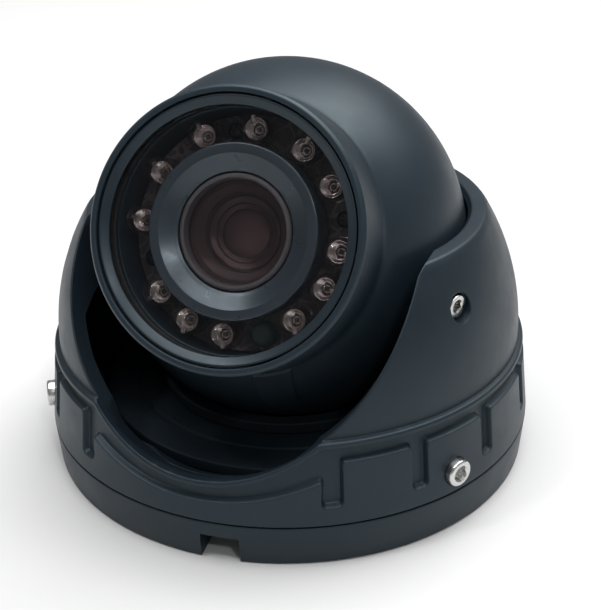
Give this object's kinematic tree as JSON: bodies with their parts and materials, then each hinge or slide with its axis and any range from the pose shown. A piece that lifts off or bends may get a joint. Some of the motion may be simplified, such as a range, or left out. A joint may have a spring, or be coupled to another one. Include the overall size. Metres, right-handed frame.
{
  "type": "dome security camera",
  "caption": "Eyeball dome camera: a round base and bell housing with a front slot, holding a tilting ball with a glazed bezel, a lens and infrared lamps.",
  "frame": {"origin": "centre of the mounting face, in the plane where the base meets the ceiling or wall", "axes": "+Z away from the mounting face, -Y towards the middle of the front slot, +X to the viewer's right when looking at the front"},
  "size_m": [0.094, 0.0949, 0.0771],
  "materials": {
    "base_paint": "satin",
    "cover_paint": "satin",
    "ball_paint": "satin",
    "ring_paint": "satin",
    "rubber": "matte",
    "stainless": "polished",
    "nylon": "satin",
    "bezel_ring": "satin",
    "front_glass": "gloss",
    "shroud": "satin",
    "barrel": "satin",
    "lens_glass": "gloss",
    "holder_plastic": "matte",
    "sensor": "gloss",
    "board_green": "satin",
    "board_black": "satin",
    "standoff_brass": "satin",
    "led_epoxy": "gloss",
    "sensor_epoxy": "gloss"
  },
  "bodies": {
    "housing": {"base_plate": "base_paint", "base_seal": "rubber", "cover_housing": "cover_paint", "cover_screw_1": "stainless", "cover_screw_2": "stainless", "cover_screw_3": "stainless", "press_ring": "ring_paint", "press_ring_screw_1": "stainless", "press_ring_screw_2": "stainless", "press_ring_screw_3": "stainless", "press_ring_screw_4": "stainless"},
    "pan_ring": {"friction_ring": "nylon"},
    "ball": {"ball_front_shell": "ball_paint", "ball_rear_cap": "ball_paint", "ball_seal": "rubber", "rear_cap_screw_1": "stainless", "rear_cap_screw_2": "stainless", "rear_cap_screw_3": "stainless", "cable_grommet": "rubber", "glass_retaining_ring": "bezel_ring", "front_glass": "front_glass", "glass_seal": "rubber", "lens_shroud": "shroud", "lens_barrel": "barrel", "lens_front": "lens_glass", "lens_inner_ring": "barrel", "lens_mid": "lens_glass", "lens_iris": "barrel", "lens_rear": "lens_glass", "lens_holder": "holder_plastic", "image_sensor": "sensor", "sensor_board": "board_green", "led_board": "board_black", "board_standoff_1": "standoff_brass", "board_screw_1": "stainless", "board_standoff_2": "standoff_brass", "board_screw_2": "stainless", "board_standoff_3": "standoff_brass", "board_screw_3": "stainless", "ir_led_01": "led_epoxy", "ir_led_02": "led_epoxy", "ir_led_03": "led_epoxy", "ir_led_04": "led_epoxy", "ir_led_05": "led_epoxy", "ir_led_06": "led_epoxy", "ir_led_07": "led_epoxy", "ir_led_08": "led_epoxy", "ir_led_09": "led_epoxy", "ir_led_10": "led_epoxy", "ir_led_11": "led_epoxy", "ir_led_12": "led_epoxy", "light_sensor": "sensor_epoxy"},
    "right_lock": {"lock_screw_right": "stainless"},
    "left_lock": {"lock_screw_left": "stainless"}
  },
  "joints": [
    {"name": "ball_pan", "type": "hinge", "parent": "housing", "child": "pan_ring", "pos_m": [0, 0, 0.0406], "axis": [0, 0, 1], "range_deg": [-11.3, 4.7]},
    {"name": "ball_tilt", "type": "hinge", "parent": "pan_ring", "child": "ball", "pos_m": [0, 0, 0.0406], "axis": [-0.9983, -0.0576, 0], "range_deg": [-24.55, 65.45]},
    {"name": "lock_screw_right_turn", "type": "hinge", "parent": "housing", "child": "right_lock", "pos_m": [0.03404, -0.01501, 0.0399], "axis": [0.915, -0.4035, 0], "range_deg": [0, 720]},
    {"name": "lock_screw_left_turn", "type": "hinge", "parent": "housing", "child": "left_lock", "pos_m": [-0.03404, -0.01501, 0.0399], "axis": [-0.915, -0.4035, 0], "range_deg": [0, 720]}
  ]
}
